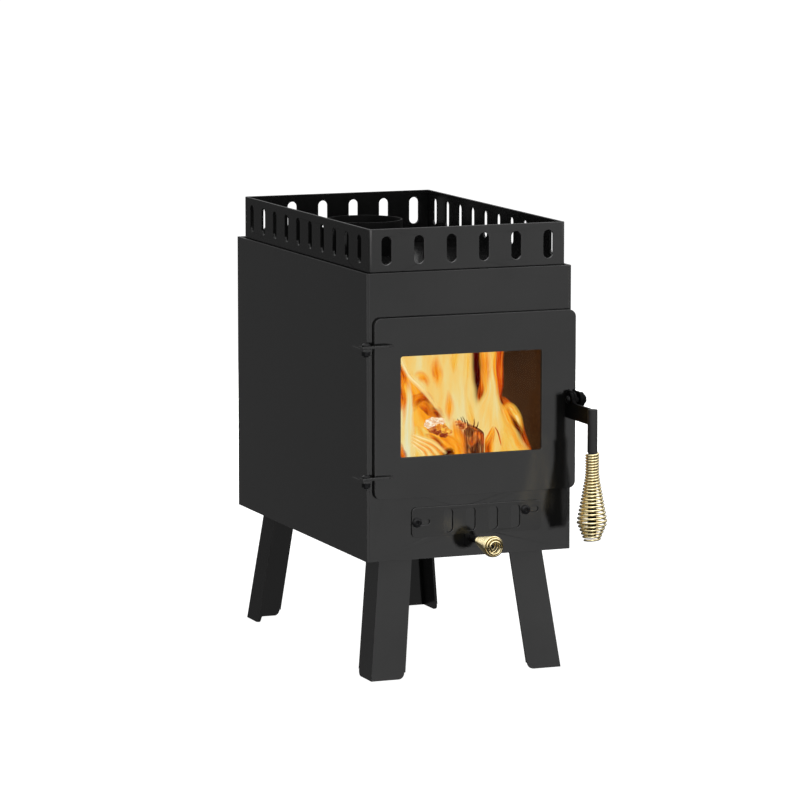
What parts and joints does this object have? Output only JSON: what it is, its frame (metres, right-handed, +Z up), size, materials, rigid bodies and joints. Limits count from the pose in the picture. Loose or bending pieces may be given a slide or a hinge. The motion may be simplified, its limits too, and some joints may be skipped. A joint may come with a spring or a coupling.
{
  "type": "sauna stove",
  "caption": "Small wood-burning sauna stove in black steel on splayed legs, with stone rail, glazed door, coiled brass grip and air slider.",
  "frame": {"origin": "on the floor, under the middle of the whole stove's overall box", "axes": "+X to the stove's right as seen from its front, -Y out of its front, +Z up along the flue"},
  "size_m": [0.2937, 0.5696, 0.557],
  "materials": {
    "black_steel": "satin heat-resistant black paint",
    "firebox_steel": "matte sooted steel",
    "dark_fasteners": "blackened steel",
    "grate_iron": "rough casting",
    "stove_glass": "clear glass ceramic",
    "glass_fibre": "woven glass-fibre tape",
    "brass": "polished wire"
  },
  "bodies": {
    "stove": {"left_side_panel": "black_steel", "right_side_panel": "black_steel", "front_panel": "black_steel", "back_panel": "black_steel", "bottom_plate": "black_steel", "top_plate": "black_steel", "flue_collar": "black_steel", "rail_front": "black_steel", "rail_back": "black_steel", "rail_left": "black_steel", "rail_right": "black_steel", "leg_front_left": "black_steel", "leg_front_right": "black_steel", "leg_back_left": "black_steel", "leg_back_right": "black_steel", "grate_ledge_left": "firebox_steel", "grate_ledge_right": "firebox_steel", "smoke_baffle": "firebox_steel", "baffle_ledge_left": "firebox_steel", "baffle_ledge_right": "firebox_steel", "fire_grate": "grate_iron", "hinge_bracket_upper": "black_steel", "hinge_bracket_lower": "black_steel", "hinge_bolt_upper": "dark_fasteners", "hinge_bolt_lower": "dark_fasteners", "hinge_nut_upper": "dark_fasteners", "hinge_nut_lower": "dark_fasteners", "catch_pin": "dark_fasteners", "slider_screws": "dark_fasteners", "slider_nuts": "dark_fasteners", "leg_bolts": "dark_fasteners", "leg_nuts": "dark_fasteners"},
    "door": {"door_panel": "black_steel", "door_glass": "stove_glass", "glass_tape": "glass_fibre", "glass_clips": "dark_fasteners", "clip_screws": "dark_fasteners", "door_seal": "glass_fibre", "hinge_tongue_upper": "black_steel", "hinge_tongue_lower": "black_steel", "latch_ear_inner": "black_steel", "latch_ear_outer": "black_steel"},
    "latch": {"latch_arm": "black_steel", "latch_hook": "black_steel", "latch_shaft": "dark_fasteners", "latch_nut": "dark_fasteners", "latch_rod": "black_steel", "grip_coil": "brass"},
    "air_slider": {"air_slider_plate": "black_steel", "knob_stud": "dark_fasteners", "knob_coil": "brass"}
  },
  "joints": [
    {"name": "door_swing", "type": "hinge", "parent": "stove", "child": "door", "pos_m": [-0.1408, -0.1923, 0.388], "axis": [0, 0, -1], "range_deg": [0, 180]},
    {"name": "latch_lift", "type": "hinge", "parent": "door", "child": "latch", "pos_m": [0.1312, -0.1993, 0.3395], "axis": [-1, 0, 0], "range_deg": [0, 60]},
    {"name": "air_slide", "type": "slide", "parent": "stove", "child": "air_slider", "axis": [-1, 0, 0], "range_m": [0, 0.014]}
  ]
}
